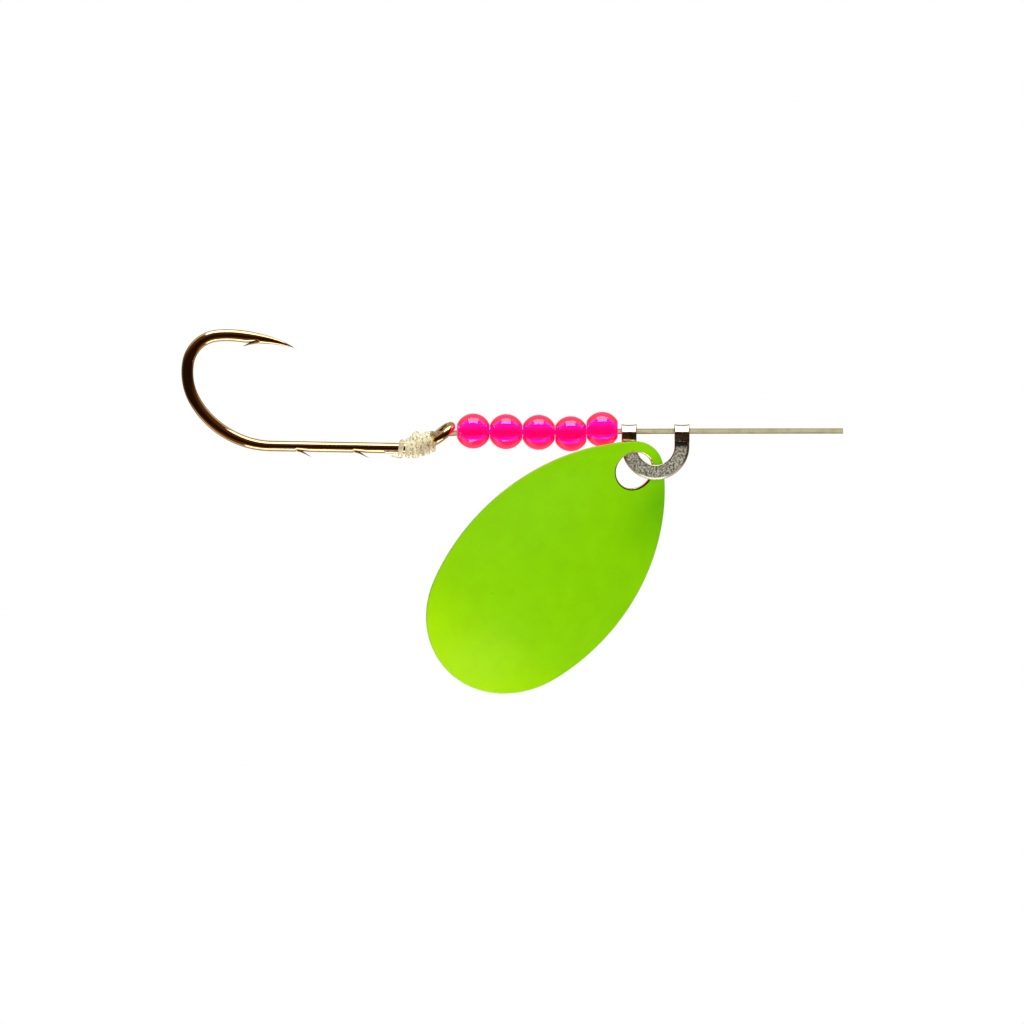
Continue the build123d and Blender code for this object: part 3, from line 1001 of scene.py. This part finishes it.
def make_blade():
    """A cupped plate with rounded edges, painted on its outer side and bare behind."""
    trail, pitch, twist = (math.radians(a) for a in (BLADE_TRAIL, BLADE_PITCH, BLADE_TWIST))
    flat_axis = Vector((-math.sin(trail), 0, -math.cos(trail)))
    across = Vector((math.cos(trail), 0, -math.sin(trail)))
    axis = flat_axis * math.cos(pitch) + BACK * math.sin(pitch)
    facing = flat_axis * math.sin(pitch) - BACK * math.cos(pitch)
    normal = facing * math.cos(twist) + across * math.sin(twist)
    side = normal.cross(axis)
    origin = Vector(BOW_CENTRE) + BLADE_TIP_OFFSET
    half = BLADE_THICKNESS / 2
    outline = Outline()
    around, rows, rounds = 288, 72, 7

    def place(u, v, outward=(0, 0), lift=0.0, reach=0.0):
        """A point off the mid surface: lift along its normal, reach along its edge's normal."""
        tiny = 0.01 * MM
        slope_u = (cup(u + tiny, v) - cup(u - tiny, v)) / (2 * tiny)
        slope_v = (cup(u, v + tiny) - cup(u, v - tiny)) / (2 * tiny)
        up = Vector((-slope_u, -slope_v, 1)).normalized()
        out = Vector((*outward, slope_u * outward[0] + slope_v * outward[1]))
        if out.length > 0:
            out.normalize()
        local = Vector((u, v, cup(u, v))) + up * lift + out * reach
        return origin + axis * local.x + side * local.y + normal * local.z

    rings = []
    for i in range(around):
        angle = 2 * math.pi * i / around
        (edge_u, edge_v), edge_out = outline.edge(angle)
        far = (edge_u - edge_out[0] * half, edge_v - edge_out[1] * half)
        ray = (math.cos(angle), math.sin(angle))
        near = (
            BLADE_HOLE_INSET + (BLADE_HOLE_RADIUS + half) * ray[0],
            (BLADE_HOLE_RADIUS + half) * ray[1],
        )
        inward = (-ray[0], -ray[1])
        line = []
        for r in range(rows + 1):
            t = r / rows
            line.append((near[0] + (far[0] - near[0]) * t, near[1] + (far[1] - near[1]) * t))
        ring = [place(*point, lift=half) for point in line]
        for k in range(1, rounds):
            turn = math.pi * (0.5 - k / rounds)
            ring.append(place(*far, edge_out, half * math.sin(turn), half * math.cos(turn)))
        ring += [place(*point, lift=-half) for point in reversed(line)]
        for k in range(1, rounds):
            turn = math.pi * (k / rounds - 0.5)
            ring.append(place(*near, inward, half * math.sin(turn), half * math.cos(turn)))
        rings.append(ring)
    vertices = [v for ring in rings for v in ring]
    faces = bridge(rings, True)
    count = len(rings[0])
    painted = rows + rounds // 2
    indices = [0 if index % count < painted else 1 for index in range(len(faces))]
    materials = [paint_material(origin, axis, side), brass_material()]
    return add_mesh("painted_blade", vertices, faces, materials, indices, sharp=60)


# ---- The rig -----------------------------------------------------------------------------------

def attach(piece, body, node):
    """Puts a visible piece on a body, in place of a CAD node."""
    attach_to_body(piece, body)
    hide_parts(node)


scene = bpy.context.scene
scene.view_settings.view_transform = "Standard"
make_camera()
make_world()
top_softbox = make_softbox("top_softbox", (-0.04, -0.17, 0.62), (0.60, 0.46), 2.8)
low_softbox = make_softbox("low_softbox", (-0.04, -0.09, -0.30), (0.26, 0.15), 2.6)
front_fill = make_softbox("front_fill", (0.12, -0.60, -0.02), (0.80, 0.60), 1.45)
front_fill.visible_glossy = False
for light in (top_softbox, low_softbox, front_fill):
    light.visible_transmission = False
backlight = make_softbox("backlight", (-0.04, 0.25, 0.0), (0.46, 0.25), 1.55)
backlight.visible_glossy = False
backlight.visible_diffuse = False
make_floor()

leader = make_leader(nylon_material(
    "clear_line", (0.44, 0.40, 0.20), (0.56, 0.52, 0.30), 0.55, 0.30, 1.5 * MM, 0.0,
))
attach(leader, "root", "leader_line")
attach(make_hook(gold_material()), "root", "hook")
# The knotted line has a painted glow that brightens the wraps.
knotted = nylon_material(
    "knotted_line", (0.38, 0.32, 0.14), (0.96, 0.95, 0.78), 0.62, 0.08, 0.28 * MM, 0.19,
)
attach(make_snell(knotted), "root", "snell_wraps")
attach(make_tag(knotted), "root", "tag_end")
pink = bead_material("fluorescent_pink", 0.48, (1.0, 0.004, 0.055))
# Painted light and shade: the bore, its lips and the flat ends get a copy of the pink with a dimmer,
# magenta glow.
shaded_bore_pink = bead_material("fluorescent_pink_bore", 0.26, (0.75, 0.01, 0.75))
for number in range(1, 6):
    attach(make_bead(number, pink, shaded_bore_pink), f"bead_{number}", f"bead_{number}")
clevis = make_clevis(pitted_nickel_material(Vector(BOW_CENTRE)), bright_nickel_material())
attach(clevis, "clevis", "clevis")
attach(make_blade(), "blade", "blade")
